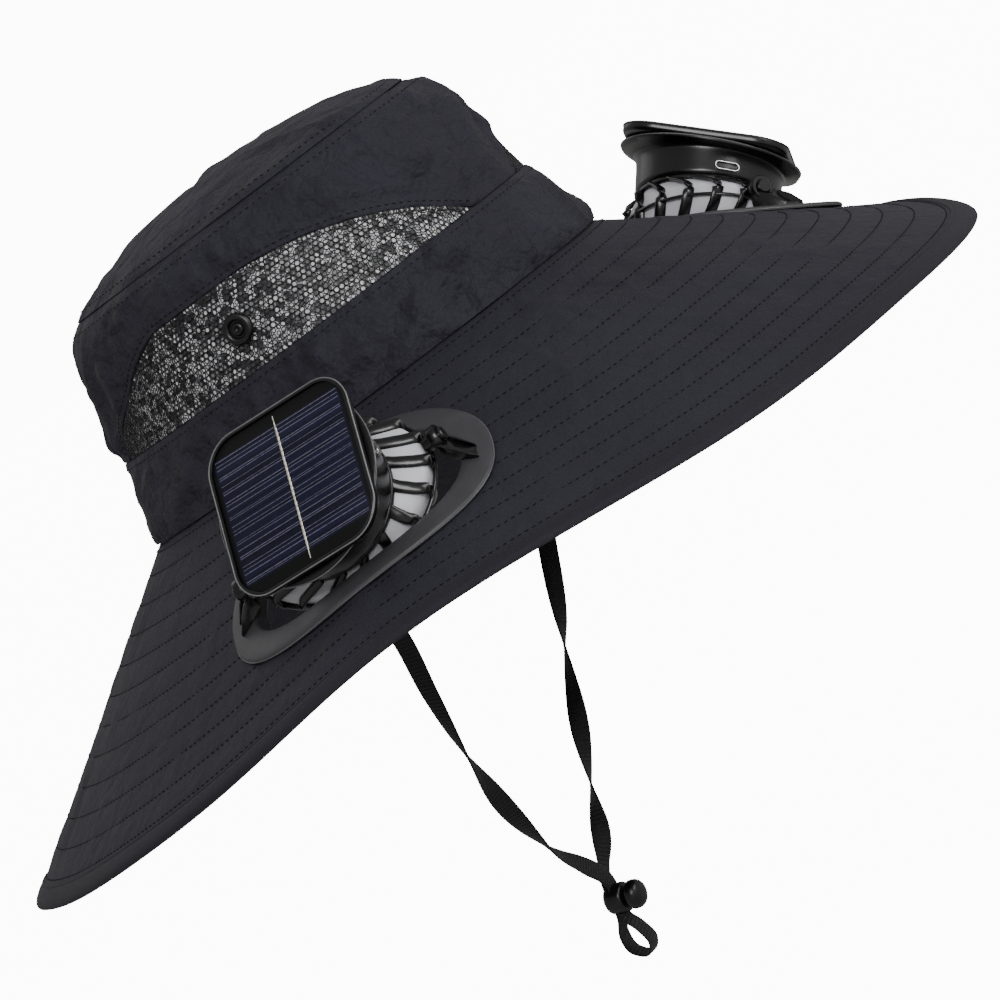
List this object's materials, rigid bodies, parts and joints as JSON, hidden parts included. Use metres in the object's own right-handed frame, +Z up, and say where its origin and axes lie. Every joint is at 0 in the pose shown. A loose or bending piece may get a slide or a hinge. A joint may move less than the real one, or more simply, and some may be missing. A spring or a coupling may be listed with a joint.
{
  "type": "solar fan sun hat",
  "caption": "Wide-brimmed cloth sun hat with mesh crown windows, a tilting solar-panelled fan let into each side of the brim, and a chin strap with a cord lock.",
  "frame": {"origin": "centre of the seam between crown and brim, where the hat sits on the head", "axes": "+Z up through the crown, the front of the hat towards -Y, the wearer's right towards -X"},
  "size_m": [0.4066, 0.4064, 0.3154],
  "materials": {
    "cloth": "plain woven polyester, near black",
    "mesh_cloth": "coarse knit mesh, black",
    "webbing": "flat woven webbing, black",
    "grey_plastic": "satin mid grey",
    "black_plastic": "glossy black",
    "pale_plastic": "light grey",
    "silicon": "dark navy cell behind clear resin",
    "tinned_metal": "tinned strip and plated port shell"
  },
  "bodies": {
    "hat": {"crown_band": "cloth", "crown_side": "cloth", "crown_top": "cloth", "brim": "cloth", "brim_hem": "cloth", "chin_strap": "webbing", "cord_lock_body": "black_plastic", "mesh_right": "mesh_cloth", "snap_right": "black_plastic", "fan_plate_right": "grey_plastic", "fan_bracket_front_right": "black_plastic", "fan_bracket_rear_right": "black_plastic", "mesh_left": "mesh_cloth", "snap_left": "black_plastic", "fan_plate_left": "grey_plastic", "fan_bracket_front_left": "black_plastic", "fan_bracket_rear_left": "black_plastic"},
    "head_right": {"fan_cage_right": "black_plastic", "fan_housing_right": "black_plastic", "panel_frame_right": "black_plastic", "solar_cell_right": "silicon", "busbar_right": "tinned_metal", "usb_port_right": "tinned_metal"},
    "rotor_right": {"impeller_right": "pale_plastic"},
    "head_left": {"fan_cage_left": "black_plastic", "fan_housing_left": "black_plastic", "panel_frame_left": "black_plastic", "solar_cell_left": "silicon", "busbar_left": "tinned_metal", "usb_port_left": "tinned_metal"},
    "rotor_left": {"impeller_left": "pale_plastic"},
    "lock_button": {"cord_lock_plunger": "black_plastic"}
  },
  "joints": [
    {"name": "fan_right_tilt", "type": "hinge", "parent": "hat", "child": "head_right", "pos_m": [-0.13125, -0.0476, -0.02383], "axis": [0.3257, -0.9449, 0.032], "range_deg": [-57, 8]},
    {"name": "fan_right_spin", "type": "hinge", "parent": "head_right", "child": "rotor_right", "pos_m": [-0.13125, -0.0476, -0.02383], "axis": [-0.7624, -0.2425, 0.5999], "continuous": true},
    {"name": "fan_left_tilt", "type": "hinge", "parent": "hat", "child": "head_left", "pos_m": [0.13716, -0.06103, -0.02918], "axis": [0.4036, 0.9149, -0.0064], "range_deg": [-52, 10]},
    {"name": "fan_left_spin", "type": "hinge", "parent": "head_left", "child": "rotor_left", "pos_m": [0.13716, -0.06103, -0.02918], "axis": [0.683, -0.2966, 0.6675], "continuous": true},
    {"name": "cord_lock_press", "type": "slide", "parent": "hat", "child": "lock_button", "axis": [0, 0.9681, 0.2504], "range_m": [0, 0.0016], "stiffness_N_per_m": 1500, "springref_m": -0.0015}
  ]
}
